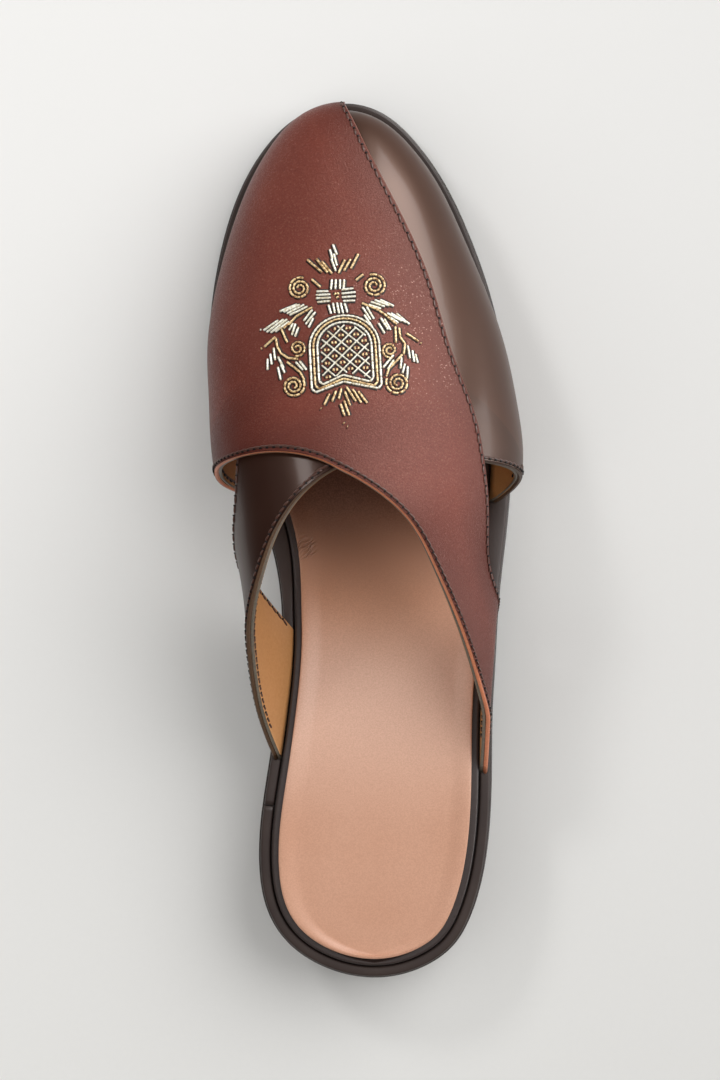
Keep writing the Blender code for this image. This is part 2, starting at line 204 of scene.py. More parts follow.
REAR_EDGE = [
    # along, over station, over girth, under station, under girth
    (0.36, 0.540, -1.000, 0.538, -1.000), (0.43, 0.562, -0.860, 0.562, -0.855),
    (0.50, 0.581, -0.680, 0.578, -0.680), (0.56, 0.591, -0.470, 0.586, -0.510),
    (0.62, 0.596, -0.265, 0.591, -0.330), (0.68, 0.588, -0.080, 0.591, -0.150),
    (0.74, 0.562, 0.076, 0.581, 0.010), (0.79, 0.522, 0.225, 0.546, 0.180),
    (0.84, 0.470, 0.368, 0.492, 0.302), (0.89, 0.412, 0.538, 0.432, 0.445),
    (0.93, 0.361, 0.660, 0.372, 0.615), (0.965, 0.304, 0.790, 0.310, 0.785),
    (1.00, 0.233, 1.000, 0.249, 1.000),
]


# %% The outline of the sole
def spline(knots, values):
    """A natural cubic spline through the knots, as a function of a number or an array."""
    x, y = np.array(knots, float), np.array(values, float)
    step, count = np.diff(x), len(x)
    matrix, right = np.eye(count), np.zeros(count)
    for i in range(1, count - 1):
        matrix[i, i - 1:i + 2] = step[i - 1], 2 * (step[i - 1] + step[i]), step[i]
        right[i] = 6 * ((y[i + 1] - y[i]) / step[i] - (y[i] - y[i - 1]) / step[i - 1])
    bend = np.linalg.solve(matrix, right)

    def value(at):
        at = np.clip(at, x[0], x[-1])
        i = np.clip(np.searchsorted(x, at) - 1, 0, count - 2)
        done, left = at - x[i], x[i + 1] - at
        curve = (bend[i] * left ** 3 + bend[i + 1] * done ** 3) / (6 * step[i])
        start = (y[i] / step[i] - bend[i] * step[i] / 6) * left
        return curve + start + (y[i + 1] / step[i] - bend[i + 1] * step[i] / 6) * done

    return value


def smoothstep(low, high, at):
    """Nought up to low, one from high on, and a soft rise between them."""
    share = np.clip((at - low) / (high - low), 0, 1)
    return share * share * (3 - 2 * share)


def station(turn):
    """The share of the sole's length, from the heel, at an angle from 0 to pi."""
    return (1 - np.cos(turn)) / 2


def turn_at(share):
    return np.arccos(1 - 2 * np.asarray(share, float))


TURN_PROBE = 1e-4
STATIONS = np.array([row[0] for row in OUTLINE])
ROUND_ENDS = np.sqrt(STATIONS * (1 - STATIONS))
INNER_WIDTH = spline(STATIONS, np.array([row[1] for row in OUTLINE]) / ROUND_ENDS)
OUTER_WIDTH = spline(STATIONS, np.array([row[2] for row in OUTLINE]) / ROUND_ENDS)


def edge(turn, side, inset):
    """Points of the sole's outline on one side (-1 inner, 1 outer), moved inwards by the inset."""
    def outline(angle):
        share = station(angle)
        y = share * SOLE_LENGTH - HEEL_LENGTH / 2
        widths = np.where(side < 0, INNER_WIDTH(share), OUTER_WIDTH(share))
        return y * AXIS_DRIFT + side * np.sin(angle) / 2 * widths * BALL_WIDTH, y

    x, y = outline(turn)
    (x_after, y_after), (x_before, y_before) = outline(turn + TURN_PROBE), outline(turn - TURN_PROBE)
    along_x, along_y = x_after - x_before, y_after - y_before
    length = np.hypot(along_x, along_y)
    return x - side * along_y / length * inset, y + side * along_x / length * inset


def sole_rise(y):
    """Height of the outsole's underside above the floor."""
    share = (y + HEEL_LENGTH / 2) / SOLE_LENGTH
    spring = np.clip((share - TREAD_END) / (1 - TREAD_END), 0, None)
    return HEEL_HEIGHT * (1 - smoothstep(SEAT_END, TREAD_START, share)) + TOE_SPRING * spring ** SPRING_POWER


def rand_base(y):
    return sole_rise(y) + OUTSOLE_THICKNESS + GAP


def rand_top(y):
    return rand_base(y) + RAND_THICKNESS


def seat(share):
    """How far inside the sole's edge the inner face of the upper stands."""
    widening = smoothstep(STRAP_ZONE_END, FOREFOOT_ZONE_START, share)
    return SEAT_AT_HEEL + (SEAT_AT_TOE - SEAT_AT_HEEL) * widening


def rim_inset(share):
    return seat(share) + GAP


# %% The last
LAST_CURVES = [spline([row[0] for row in LAST], [row[i] for row in LAST]) for i in range(1, 9)]
BEYOND_INNER, BEYOND_OUTER, WIDEST_INNER, WIDEST_OUTER, CROWN, ACROSS, FULL_INNER, FULL_OUTER = LAST_CURVES


def last_inset(share, side):
    forefoot = smoothstep(STRAP_ZONE_END, FOREFOOT_ZONE_START, share)
    nose = smoothstep(turn_at(NOSE_ZONE_START), math.pi, turn_at(share))
    over_stands = np.where(side < 0, forefoot * (1 - nose), 1 - forefoot)
    return seat(share) - WALL + (GAP + WALL) * over_stands


def last_point(turn, girth):
    """A point of the last's surface: girth -1 at the inner lower edge, 0 on the crown, 1 at the outer."""
    share = station(turn)
    side = np.where(girth < 0, -1.0, 1.0)
    low_x, low_y = edge(turn, side, last_inset(share, side))
    inner_x, inner_y = edge(turn, -1.0, -BEYOND_INNER(share) * BALL_WIDTH)
    outer_x, outer_y = edge(turn, 1.0, -BEYOND_OUTER(share) * BALL_WIDTH)
    wide_x, wide_y = np.where(side < 0, inner_x, outer_x), np.where(side < 0, inner_y, outer_y)
    low_z = rand_top(low_y) + GAP
    inner_z, outer_z = WIDEST_INNER(share) * INSTEP_HEIGHT, WIDEST_OUTER(share) * INSTEP_HEIGHT
    wide_z = low_z + np.where(side < 0, inner_z, outer_z)
    crown_x = inner_x + (outer_x - inner_x) * ACROSS(share)
    crown_y = (inner_y + outer_y) / 2
    rise = np.cos(turn / 2) * CROWN(share) * INSTEP_HEIGHT
    crown_z = rand_top(crown_y) + GAP + (inner_z + outer_z) / 2 + rise
    over = np.hypot(wide_x - crown_x, crown_z - wide_z) * QUARTER_ARC + GAP
    bend = over / (over + np.hypot(wide_x - low_x, wide_z - low_z))
    angle = np.clip(np.abs(girth) / bend, 0, 1) * math.pi / 2
    full = np.where(side < 0, FULL_INNER(share), FULL_OUTER(share))
    size = (np.sin(angle) ** full + np.cos(angle) ** full) ** (1 / full)
    out, up = np.sin(angle) / size, np.cos(angle) / size
    down = np.clip((np.abs(girth) - bend) / (1 - bend), 0, 1)
    x = crown_x + (wide_x - crown_x) * out + (low_x - wide_x) * down ** 2
    y = crown_y + (wide_y - crown_y) * out ** 2 + (low_y - wide_y) * down ** 2
    z = wide_z + (crown_z - wide_z) * up * (down == 0) - (wide_z - low_z) * down
    return np.stack([x, y, z], axis=-1)


def last_surface(turn, girth, offset):
    """The last's surface moved outwards by the offset; level at the lower edge, to stand on the rand."""
    turn, girth = np.asarray(turn, float), np.asarray(girth, float)
    probe = 2e-3
    at = np.minimum(turn, math.pi - 2 * probe)
    near = np.clip(girth, -1 + probe, 1 - probe)
    along = last_point(at + probe, near) - last_point(at - probe, near)
    across = last_point(at, near + probe) - last_point(at, near - probe)
    normal = np.cross(across, along)
    standing = np.clip(1 - (1 - np.abs(girth)) / FOOT_SHARE, 0, 1)
    normal[..., 2] = normal[..., 2] * (1 - standing)
    normal = normal / np.linalg.norm(normal, axis=-1, keepdims=True)
    on_last = last_point(turn, girth)
    moved = on_last + normal * np.asarray(offset)[..., None]
    moved[..., 2] = moved[..., 2] + (rand_top(moved[..., 1]) - rand_top(on_last[..., 1])) * standing
    return moved


print("crown at the instep", round(float(last_point(turn_at(0.55), np.array(0.0))[2]) / MM, 1), "mm high")


# %% [markdown]
# Nearly every piece of a shoe is a sheet: sock, sole, strip or panel. So one helper makes them all. It
# draws a flat grid, extrudes it into a slab, cuts its sides into layers and then sends each point to
# its place on the shoe. The layers let the cut edges be rounded, as a maker's edge tool rounds them.

# %% The slab that every sheet starts from
NEAR_NOUGHT, NEAR_ONE = 0.001, 0.999


def slab(name, cells_along, cells_across, layers, place, materials):
    """A closed sheet: place(u, v, w) sends shares along, across and through it to points of the shoe."""
    shape = bmesh.new()
    bmesh.ops.create_grid(shape, x_segments=cells_along, y_segments=cells_across, size=0.5)
    for vert in shape.verts:
        vert.co += Vector((0.5, 0.5, 0))
    raised = bmesh.ops.extrude_face_region(shape, geom=shape.faces[:])["geom"]
    bmesh.ops.translate(shape, verts=[v for v in raised if isinstance(v, bmesh.types.BMVert)], vec=(0, 0, 1))
    upright = [e for e in shape.edges if abs(e.verts[0].co.z - e.verts[1].co.z) > 0.5]
    sides = bmesh.ops.subdivide_edges(shape, edges=upright, cuts=layers - 1)
    shape.normal_update()
    sheet = shape.loops.layers.uv.new("sheet")
    for face in shape.faces:
        face.smooth = True
        face.material_index = 1 if len(materials) > 1 and abs(face.normal.z) < 0.5 else 0
        for loop in face.loops:
            loop[sheet].uv = loop.vert.co.xy
    flat = np.array([v.co for v in shape.verts])
    for vert, point in zip(shape.verts, place(flat[:, 0], flat[:, 1], flat[:, 2])):
        vert.co = point
    bmesh.ops.recalc_face_normals(shape, faces=shape.faces)
    if shape.calc_volume(signed=True) < 0:
        bmesh.ops.reverse_faces(shape, faces=shape.faces)
    return settle(name, shape, materials)


def make_object(name, shape, materials):
    """Turn a finished bmesh into an object of the scene."""
    mesh = bpy.data.meshes.new(name)
    shape.to_mesh(mesh)
    shape.free()
    obj = bpy.data.objects.new(name, mesh)
    bpy.context.scene.collection.objects.link(obj)
    for material in materials:
        mesh.materials.append(material)
    return obj


def settle(name, shape, materials):
    """Make an object that rides with the shoe."""
    obj = make_object(name, shape, materials)
    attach(obj, "root")
    print(name, len(obj.data.polygons), "faces")
    return obj


def rounded(w, radius):
    """How far a sheet's cut edge draws in at each layer: nothing in the middle, the radius at both faces."""
    return radius * np.clip(np.abs(2 * w - 1), 0, 1) ** 3


# %% [markdown]
# The heel. A moulded rubber top lift meets the floor: matte, nearly black, with fine pores. Over it
# stands a stacked heel of leather layers, pressed together and stained dark. The fibre runs level, so
# its noise is stretched flat, and a fine line shows between the layers.

# %% Rubber and stacked leather
rubber, tree, shader, mm = new_material("top_lift_rubber")
pores = add(tree, "TexNoise", {"Vector": mm, "Scale": 1.2, "Detail": 4.0})
bump = add(tree, "Bump", {"Height": pores, "Strength": 0.25, "Distance": 0.1 * MM})
fill(tree, shader, {"Base Color": "2a2726", "Roughness": 0.62, "Normal": bump})

LEVEL_FIBRE = (0.15, 0.15, 2.2)
stacked = grained("stained_stacked_leather", ("2c1d18", "4a3229"), 0.36, scale=1.0, strength=0.3, depth=0.12,
                  stretch=LEVEL_FIBRE)[0]


# %% Plates that fill the outline
FIRST_TURN = 0.012


def nothing(at):
    """The inset or the base of a plate whose levels say all of it."""
    return 0 * at


def plate(name, cells, layers, end_share, levels, material, inset=nothing, base=nothing, span=None, dip=None):
    """A plate over the sole. A level gives a share through, and what to add there to the inset and the base.
    The span stretches the heights, and the dip sinks the plate away from its edge."""
    through, insets, heights = zip(*levels)
    last_turn = turn_at(end_share) - FIRST_TURN * (end_share == 1.0)

    def place(u, v, w):
        turn = FIRST_TURN + (last_turn - FIRST_TURN) * u
        across = (1 - np.cos(v * math.pi)) / 2
        inward = inset(station(turn)) + np.interp(w, through, insets)
        (in_x, in_y), (out_x, out_y) = edge(turn, -1.0, inward), edge(turn, 1.0, inward)
        x, y = in_x + (out_x - in_x) * across, in_y + (out_y - in_y) * across
        z = base(y) + np.interp(w, through, heights) * (span(y) if span else 1)
        from_edge = np.minimum(across, 1 - across) * np.hypot(out_x - in_x, out_y - in_y)
        return np.stack([x, y, z + (dip(x, y, from_edge, w) if dip else 0)], axis=-1)

    return slab(name, *cells, layers, place, [material])


# %% Top lift
HEEL_SHARE = HEEL_LENGTH / SOLE_LENGTH
lift_inset = HEEL_TAPER + EDGE_ROUND
lift = plate("rubber_top_lift", (60, 24), 6, HEEL_SHARE, [
    # share through, inset, height
    (0.00, lift_inset + EDGE_ROUND, 0.0),
    (0.17, lift_inset + EDGE_ROUND * 0.3, EDGE_ROUND * 0.3),
    (0.34, lift_inset, EDGE_ROUND),
    (1.00, lift_inset, LIFT_THICKNESS),
], rubber)
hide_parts("top_lift")

# %% Stacked heel
LEATHER_LAYERS = 5
NOTCH = 0.00022
HEEL_FOOT = LIFT_THICKNESS + GAP


def heel_span(y):
    return sole_rise(y) - GAP - HEEL_FOOT


heel_levels = []
for layer in range(LEATHER_LAYERS):
    for part, notch in ((0.03, NOTCH), (0.12, 0.0), (0.88, 0.0), (0.97, NOTCH)):
        done = (layer + part) / LEATHER_LAYERS
        heel_levels.append((done, HEEL_TAPER * (1 - done) + EDGE_ROUND + notch, done))
heel_levels[0] = (0.0, *heel_levels[0][1:])
heel_levels[-1] = (1.0, *heel_levels[-1][1:])
heel = plate("stacked_heel", (60, 24), 40, HEEL_SHARE, heel_levels, stacked,
             base=lambda y: HEEL_FOOT + 0 * y, span=heel_span)
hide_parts("heel_block")

# %% [markdown]
# The outsole is one piece of firm sole leather. Its edge is trimmed, stained nearly black and waxed, so
# it shines a little more than the rest and shows only a faint fibre.

# %% Sole leather
sole_leather = grained("waxed_sole_leather", ("1d1615", "3a2b26"), 0.33, scale=0.35, detail=8, harshness=0.65,
                       strength=0.2, depth=0.1)[0]

# %% Outsole
outsole = plate("waxed_outsole", (200, 36), 8, 1.0, [
    # share through, inset, height over the underside
    (0.00, EDGE_ROUND, 0.0),
    (0.12, EDGE_ROUND * 0.3, EDGE_ROUND * 0.3),
    (0.25, 0.0, EDGE_ROUND),
    (0.87, 0.0, OUTSOLE_THICKNESS - EDGE_ROUND / 2),
    (1.00, EDGE_ROUND / 2, OUTSOLE_THICKNESS),
], sole_leather, base=sole_rise)
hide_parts("outsole")

# %% [markdown]
# The rand is a strip of leather laid on the outsole all the way round. It starts and ends in a butt
# joint at the inner side of the heel, which shows as a thin line across the strip. It is stained but not
# waxed, so it is duller than the sole, a little cloudy, and its grain still shows.

# %% Rand leather
rand_leather, tree, shader, mm = new_material("stained_rand_leather")
grain = add(tree, "TexNoise", {"Vector": mm, "Scale": 0.9, "Detail": 6.0, "Roughness": 0.6})
wear = add(tree, "TexNoise", {"Vector": mm, "Scale": 0.06, "Detail": 3.0})
tone = add(tree, "Mix", {0: wear, 6: "2c2220", 7: "453833"}, data_type="RGBA")
bump = add(tree, "Bump", {"Height": grain, "Strength": 0.35, "Distance": 0.12 * MM})
fill(tree, shader, {"Base Color": tone, "Roughness": 0.46, "Specular IOR Level": 0.3, "Normal": bump})

# %% Rand
JOINT_SHARE = 0.197
JOINT_WIDTH = 0.00035
JOINT_REACH = 0.117
RAND_CROWN = 0.00018


def place_rand(u, v, w):
    """Along from the joint round the heel, the outer side and the toe; across from outside inwards."""
    joint = 2 * math.pi - float(turn_at(JOINT_SHARE))
    around = (joint + u * (2 * math.pi - JOINT_WIDTH / JOINT_REACH)) % (2 * math.pi)
    side = np.where(around <= math.pi, 1.0, -1.0)
    turn = np.where(around <= math.pi, around, 2 * math.pi - around)
    share = station(turn)
    low, high = RAND_SETBACK + 0 * share, seat(share)
    drawn_in = rounded(w, 0.5 * EDGE_ROUND) * (w > 0.5)
    inset = low + (high - low) * v + drawn_in * (1.0 * (v < NEAR_NOUGHT) - (v > NEAR_ONE))
    x, y = edge(turn, side, inset)
    arch = RAND_CROWN * np.sin(np.clip(v, 0, 1) * math.pi) * (w > NEAR_ONE)
    return np.stack([x, y, rand_base(y) + (RAND_THICKNESS - RAND_CROWN) * w + arch], axis=-1)


rand = slab("rand_strip", 420, 8, 6, place_rand, [rand_leather])
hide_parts("rand")

# %% [markdown]
# The insole board is wrapped in thin, dark, grained leather, and its rim shows all round the sock. The
# sock is smooth pink-tan lining leather, glued down and pressed by the foot into a shallow dish. It is
# warm under the heel. A painted sheen makes it palest just ahead of the heel, and painted shade turns it
# warmer and then dark brown where it runs in under the upper. Real pores are finer than the ones drawn
# here. By the arch lie a few folds: a wave in the bump and three creases in the mesh.

# %% Rim leather and sock leather
rim_leather = grained("wrapped_rim_leather", ("2a2120", "40332f"), 0.42, scale=1.1, strength=0.5,
                      depth=0.15)[0]

sock_leather, tree, shader, mm = new_material("smooth_sock_leather")
cloud = add(tree, "TexNoise", {"Vector": mm, "Scale": 0.03, "Detail": 3.0})
pores = add(tree, "TexNoise", {"Vector": mm, "Scale": 2.2, "Detail": 5.0, "Roughness": 0.6})
ahead = add(tree, "SeparateXYZ", [mm]).outputs["Y"]
# Painted light along the sock: a painted sheen just ahead of the heel, then painted shade where it runs in
# under the upper.
painted_sheen = add(tree, "MapRange", (ahead, 5, 60, 0, 1), **SOFTLY)
painted_warm_shade = add(tree, "MapRange", (ahead, 62, 94, 0, 1), **SOFTLY)
painted_shade = add(tree, "MapRange", (ahead, 80, 132, 0, 0.95), **SOFTLY)
speck = add(tree, "MapRange", (pores, 0.38, 0.62, 0, 0.28))
tone = add(tree, "Mix", {0: cloud, 6: "c99477", 7: "dcab91"}, data_type="RGBA")
for share, colour in ((painted_sheen, "e0b6a0"), (painted_warm_shade, "dba383"), (painted_shade, "431a06"), (speck, "a97960")):
    tone = add(tree, "Mix", {0: share, 6: tone, 7: colour}, data_type="RGBA")
bump = add(tree, "Bump", {"Height": pores, "Strength": 0.3, "Distance": 0.06 * MM})

# %% Fine folds of the sock
FOLD_MIDDLE = (-23.0, 106.4, 13.5)
ACROSS_THE_FOLDS = (0.69, -0.72, 0)
across_folds = add(tree, "VectorMath", (mm, ACROSS_THE_FOLDS), operation="DOT_PRODUCT").outputs["Value"]
waver = add(tree, "TexNoise", {"Vector": mm, "Scale": 0.35, "Detail": 1.0})
shifted = add(tree, "Math", (waver, 2.5, across_folds), operation="MULTIPLY_ADD")
turns = add(tree, "Math", (shifted, 4.8), operation="MULTIPLY")
wave = add(tree, "Math", [turns], operation="SINE")
away = add(tree, "VectorMath", (mm, FOLD_MIDDLE), operation="DISTANCE").outputs["Value"]
near = add(tree, "MapRange", (away, 1.5, 6.0, 1, 0), **SOFTLY)
folds = add(tree, "Math", (wave, near), operation="MULTIPLY")
creased = add(tree, "Bump", {"Height": folds, "Strength": 1.0, "Distance": 0.35 * MM, "Normal": bump})
fill(tree, shader, {"Base Color": tone, "Roughness": 0.46, "Specular IOR Level": 0.35, "Normal": creased})


# %% Insole rim
def foot_dip(x, y, from_edge, w):
    """The dish that the foot has pressed, on the upper face but not on the sides."""
    return -FOOTBED_DISH * smoothstep(SOCK_MARGIN, DISH_WIDTH, from_edge) * (w > NEAR_ONE)


rim = plate("wrapped_insole_rim", (240, 40), 8, 1.0, [
    # share through, inset beyond the rim's, height over the rand
    (0.00, 0.0, -RAND_THICKNESS),
    (0.55, 0.0, RIM_RISE - EDGE_ROUND),
    (0.75, 0.12 * EDGE_ROUND, RIM_RISE - 0.5 * EDGE_ROUND),
    (0.88, 0.45 * EDGE_ROUND, RIM_RISE - 0.12 * EDGE_ROUND),
    (1.00, EDGE_ROUND, RIM_RISE),
], rim_leather, inset=rim_inset, base=rand_top, dip=foot_dip)
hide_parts("insole_board")

# %% Sock
SOCK_CREASES = [
    # across, along, way round in degrees, length, width, depth, all but the angle in millimetres
    (-22.6, 103.6, 40, 5.5, 1.5, 0.22),
    (-22.2, 106.2, 44, 6.5, 1.6, 0.28),
    (-21.6, 109.0, 48, 5.5, 1.5, 0.20),
]


def sock_dip(x, y, from_edge, w):
    """The dish of the foot on both faces, and a few small creases by the arch on the upper one."""
    dish = -FOOTBED_DISH * smoothstep(0.4 * EDGE_ROUND, DISH_WIDTH - SOCK_MARGIN, from_edge)
    dish = dish * ((w > NEAR_ONE) | (w < NEAR_NOUGHT))
    for across, along, turn, length, width, depth in SOCK_CREASES:
        way = math.radians(turn)
        right, ahead = x / MM - across, y / MM - along
        down_line = right * math.cos(way) + ahead * math.sin(way)
        off_line = ahead * math.cos(way) - right * math.sin(way)
        hollow = np.exp(-(down_line / length) ** 2 * 4 - (off_line / width) ** 2 * 4)
        dish = dish - depth * MM * hollow * (w > NEAR_ONE)
    return dish


sock_low = RIM_RISE + GAP
sock_high = sock_low + SOCK_THICKNESS


def sock_inset(share):
    return rim_inset(share) + SOCK_MARGIN


sock = plate("smooth_sock", (300, 90), 6, 1.0, [
    # share through, inset beyond the sock's, height over the rand
    (0.00, 0.0, sock_low),
    (0.50, 0.0, sock_high - EDGE_ROUND / 2),
    (0.80, 0.3 * EDGE_ROUND, sock_high - 0.12 * EDGE_ROUND),
    (1.00, EDGE_ROUND, sock_high),
], sock_leather, inset=sock_inset, base=rand_top, dip=sock_dip)
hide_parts("sock")

# %% [markdown]
# The upper is two panels of polished calf, each lined with golden tan leather. Both are cut from the
# last's surface. A point of a panel is named by its share along, from the toe to the strap's foot, and
# its share across, from the rear or lower edge to the front edge.

# %% Points of a panel
OVER, UNDER = 1.0, -1.0
LEATHER = 0.0015
BETWEEN = 0.00005
SHARE_PROBE = 1e-3
WIDEST_MARGIN = 0.1


def panel_curves(side):
    """The turns and girths of a panel's front and rear edges, as functions of the share along."""
    column = 1 if side == OVER else 3
    curves = []
    for table in (FRONT_EDGE, REAR_EDGE):
        along = [row[0] for row in table]
        curves.append(spline(along, turn_at([row[column] for row in table])))
        curves.append(spline(along, [row[column + 1] for row in table]))
    return curves


PANEL_CURVES = {side: panel_curves(side) for side in (OVER, UNDER)}


def panel_point(side, along, across, height):
    """A point of a panel; the height counts outwards from the inner face of the lining."""
    front_turn, front_girth, rear_turn, rear_girth = PANEL_CURVES[side]
    along = np.asarray(along, float)
    corner_turn = rear_turn(CORNER_ALONG)
    toe_share = np.clip(along / CORNER_ALONG, 0, 1)
    by_toe = along < CORNER_ALONG
    back_turn = np.where(by_toe, math.pi + (corner_turn - math.pi) * toe_share, rear_turn(along))
    back_girth = np.where(by_toe, -1.0, rear_girth(along))
    turn = back_turn + (front_turn(along) - back_turn) * across
    girth = back_girth + (front_girth(along) - back_girth) * across
    inside = GAP if side == OVER else -WALL
    return last_surface(turn, girth * side, inside + np.asarray(height))


def margin(side, along, at_front, distance):
    """The share across that lies a distance inside the front or the rear edge, measured square to it."""
    across = np.where(at_front, 1.0 - SHARE_PROBE, SHARE_PROBE) + 0 * along
    outside = WALL + 0 * along
    ahead = panel_point(side, np.clip(along + SHARE_PROBE, 0, 1), across, outside)
    ahead = ahead - panel_point(side, np.clip(along - SHARE_PROBE, 0, 1), across, outside)
    sideways = panel_point(side, along, across + SHARE_PROBE, outside)
    sideways = (sideways - panel_point(side, along, across - SHARE_PROBE, outside)) / (2 * SHARE_PROBE)
    square = np.linalg.norm(np.cross(ahead, sideways), axis=-1) / np.linalg.norm(ahead, axis=-1)
    share = np.minimum(distance / square, WIDEST_MARGIN * np.asarray(distance) / MM)
    return np.where(at_front, 1 - share, share)


# %% [markdown]
# Polished calf is aniline leather with a wax finish. The red-brown panel has a fine speckle of pits and
# grains, drawn coarser than real pores so that it shows. The pits are rougher, so the gloss breaks up
# into a soft, reddish sheen. A hand burnish darkens it near the edges. Painted shade darkens it low on
# the inner side, and small pale flecks of painted glint lie where the vamp bends. The olive-brown panel
# is smoother and glossier, with a thin clear coat of wax, and painted shade darkens its strap.

# %% Red-brown calf
red_calf, tree, shader, mm = new_material("burnished_red_brown_calf")
cloud = add(tree, "TexNoise", {"Vector": mm, "Scale": 0.035, "Detail": 3.0})
speckle = add(tree, "TexNoise", {"Vector": mm, "Scale": 1.6, "Detail": 3.0, "Roughness": 0.8})
glint_speckle = add(tree, "TexNoise", {"Vector": mm, "Scale": 1.3, "Detail": 2.0, "Roughness": 0.7})
to_edge = add(tree, "Attribute", attribute_name="to_edge").outputs["Fac"]
place = add(tree, "SeparateXYZ", [add(tree, "UVMap", uv_map="sheet")])
along, across = place.outputs["X"], place.outputs["Y"]
pits = add(tree, "MapRange", (speckle, 0.48, 0.34, 0, 0.45))
dots = add(tree, "MapRange", (speckle, 0.55, 0.70, 0, 0.38))
burnish = add(tree, "MapRange", (to_edge, 0, 14, 0.55, 0))
# Painted shade: low on the inner side, towards the toe, away from the light.
low = add(tree, "MapRange", (across, 0, 0.5, 0.65, 0), **SOFTLY)
in_front = add(tree, "MapRange", (along, 0.40, 0.60, 1, 0), **SOFTLY)
painted_inner_shade = add(tree, "Math", (low, in_front), operation="MULTIPLY")
# Painted glints: small pale flecks in the sheen, near the front edge where the vamp bends.
painted_glints = add(tree, "MapRange", (glint_speckle, 0.64, 0.70, 0, 0.75))
for source, start, end, first, last in ((across, 0.60, 0.90, 0, 1), (along, 0.24, 0.42, 0, 1),
                                        (along, 0.48, 0.66, 1, 0)):
    zone = add(tree, "MapRange", (source, start, end, first, last), **SOFTLY)
    painted_glints = add(tree, "Math", (painted_glints, zone), operation="MULTIPLY")
tone = add(tree, "Mix", {0: cloud, 6: "582118", 7: "773426"}, data_type="RGBA")
for share, colour in ((pits, "46170f"), (dots, "a36c5e"), (burnish, "3c130e"), (painted_inner_shade, "3c130e"),
                      (painted_glints, "dcb0a2")):
    tone = add(tree, "Mix", {0: share, 6: tone, 7: colour}, data_type="RGBA")
rough = add(tree, "MapRange", (speckle, 0.3, 0.7, 0.52, 0.28))
bump = add(tree, "Bump", {"Height": speckle, "Strength": 1.0, "Distance": 0.20 * MM})
fill(tree, shader, {"Base Color": tone, "Roughness": rough, "Specular IOR Level": 0.46,
                    "Specular Tint": "ffd2c6", "Normal": bump})

# %% Olive-brown calf
olive_calf, tree, shader, mm = new_material("polished_olive_brown_calf")
cloud = add(tree, "TexNoise", {"Vector": mm, "Scale": 0.03, "Detail": 3.0})
pores = add(tree, "TexNoise", {"Vector": mm, "Scale": 1.8, "Detail": 3.0, "Roughness": 0.6})
to_edge = add(tree, "Attribute", attribute_name="to_edge").outputs["Fac"]
along = add(tree, "SeparateXYZ", [add(tree, "UVMap", uv_map="sheet")]).outputs["X"]
burnish = add(tree, "MapRange", (to_edge, 0, 10, 0.45, 0))
# Painted shade: the strap, under the edge of the other panel, is darkened.
painted_strap_shade = add(tree, "MapRange", (along, 0.50, 0.72, 0, 0.75), **SOFTLY)
tone = add(tree, "Mix", {0: cloud, 6: "3a2319", 7: "4d3226"}, data_type="RGBA")
for share, colour in ((burnish, "1c1310"), (painted_strap_shade, "26120d")):
    tone = add(tree, "Mix", {0: share, 6: tone, 7: colour}, data_type="RGBA")
bump = add(tree, "Bump", {"Height": pores, "Strength": 0.15, "Distance": 0.04 * MM})
fill(tree, shader, {"Base Color": tone, "Roughness": 0.36, "Specular IOR Level": 0.36,
                    "Specular Tint": "ffdccb", "Coat Weight": 0.14, "Coat Roughness": 0.14, "Normal": bump})

# %% [markdown]
# The lining is golden tan leather, dull and open-grained. The cut edges are painted by hand: streaks of
# two tones along the topline, and a darker tone along the front edge, which on the lining is painted shade.

# %% Lining leather and cut edges
lining_leather = grained("golden_tan_lining_leather", ("b67b45", "cf9961"), 0.55, scale=0.9, harshness=0.65,
                         strength=0.35, depth=0.08)[0]
EDGE_PAINTS = {}
for edge_name, *streaks, front_tone in (
    # name, two tones of the topline, tone of the front edge
    ("orange_tan_cut_edge", "b35a38", "f0a17a", "6d3427"),
    ("brown_gold_cut_edge", "33241b", "6f5138", "3a2a22"),
    ("grey_cream_lining_edge", "3a322d", "948877", "5d3d22"),
):
    paint, tree, shader, tone = grained(edge_name, streaks, 0.36, scale=1.5, detail=5, harshness=0.7,
                                        strength=0.5, depth=0.08)
    across = add(tree, "SeparateXYZ", [add(tree, "UVMap", uv_map="sheet")]).outputs["Y"]
    # A darker tone along the front edge; on the lining's edge it is painted shade, to sit with the shaded
    # lining.
    front_darkening = add(tree, "MapRange", (across, 0.4, 0.6, 0, 0.85))
    front_toned = add(tree, "Mix", {0: front_darkening, 6: tone, 7: front_tone}, data_type="RGBA")
    fill(tree, shader, {"Base Color": front_toned})
    EDGE_PAINTS[edge_name] = paint


# %% Panels of the upper
EDGE_SHARE = 0.30
FAR_AWAY = 99
PANEL_CELLS = (220, 60)
PANEL_LAYERS = 4


def panel(name, side, low, high, draw_in, materials):
    """One layer of a panel between two heights, its cut edges rounded and drawn in by a small width."""
    from_edge = []

    def place(u, v, w):
        pull = rounded(w, EDGE_SHARE * (high - low)) + draw_in
        front, rear = margin(side, u, True, pull), margin(side, u, False, pull)
        at_rear = u > CORNER_ALONG
        across = np.where(v > NEAR_ONE, front, np.where((v < NEAR_NOUGHT) & at_rear, rear, v))
        to_front = (1 - v) / (1 - margin(side, u, True, MM))
        to_rear = np.where(at_rear, v / margin(side, u, False, MM), FAR_AWAY)
        from_edge.extend(np.minimum(to_front, to_rear))
        return panel_point(side, u, across, low + (high - low) * w)

    obj = slab(name, *PANEL_CELLS, PANEL_LAYERS, place, materials)
    to_edge = obj.data.attributes.new("to_edge", "FLOAT", "POINT")
    to_edge.data.foreach_set("value", from_edge)
    return obj


SKIN = WALL - LEATHER
LINING_PULL = 0.0002


